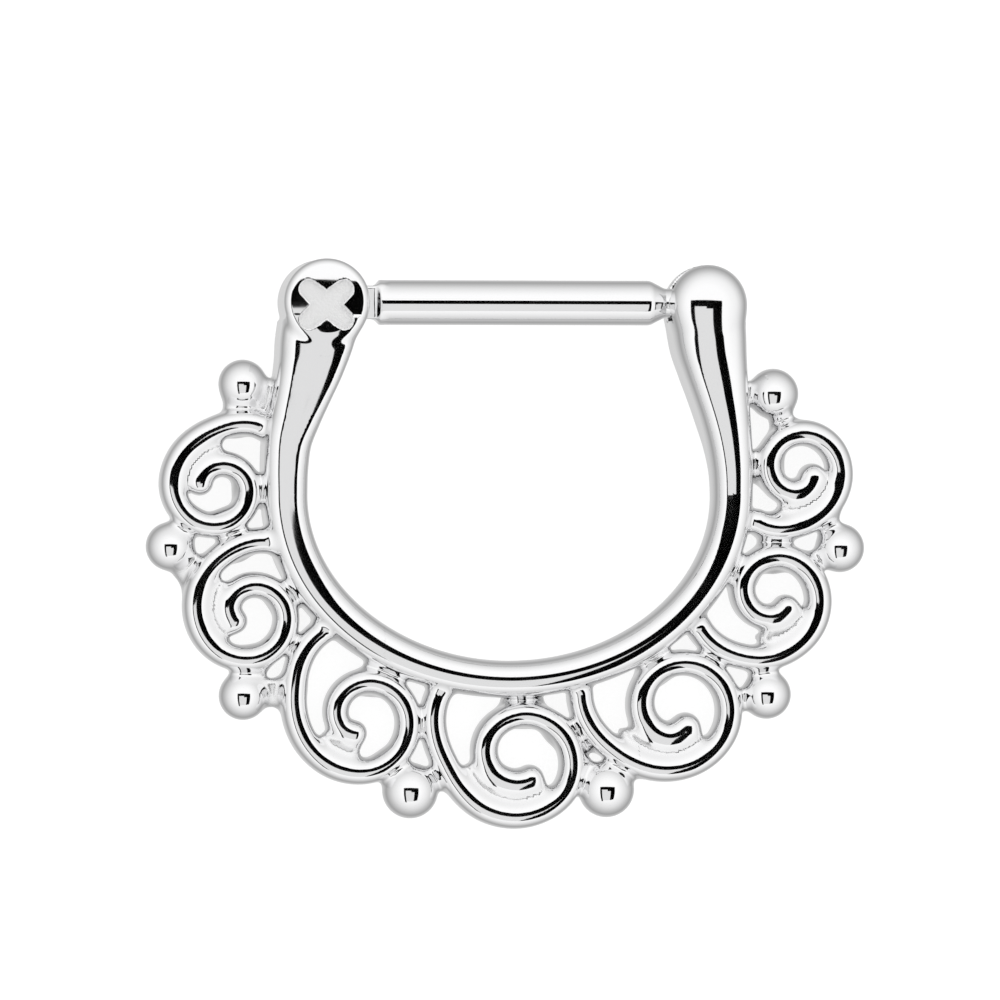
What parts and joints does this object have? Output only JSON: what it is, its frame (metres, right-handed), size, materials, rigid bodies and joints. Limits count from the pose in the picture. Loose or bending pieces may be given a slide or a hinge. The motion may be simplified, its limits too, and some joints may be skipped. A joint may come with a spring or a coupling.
{
  "type": "septum ring",
  "caption": "Hinged D-shaped septum ring with a straight bar that swings open, edged with filigree scrolls and beads.",
  "frame": {"origin": "middle of the part's box in plan, at the height of the surface it lies on", "axes": "the ring lies on its back: +X from the hinge head to the catch head, +Y from the scrolls towards the bar, +Z out of the front face with the stamped cross"},
  "size_m": [0.0194, 0.0152, 0.0023],
  "materials": {
    "steel": "mirror-polished surgical steel"
  },
  "bodies": {
    "ring": {"ring": "steel", "hinge_pin": "steel"},
    "bar": {"bar": "steel"}
  },
  "joints": [
    {"name": "bar_hinge", "type": "hinge", "parent": "ring", "child": "bar", "pos_m": [-0.00498, 0.00649, 0.00115], "axis": [0, 0, 1], "range_deg": [0, 90]}
  ]
}
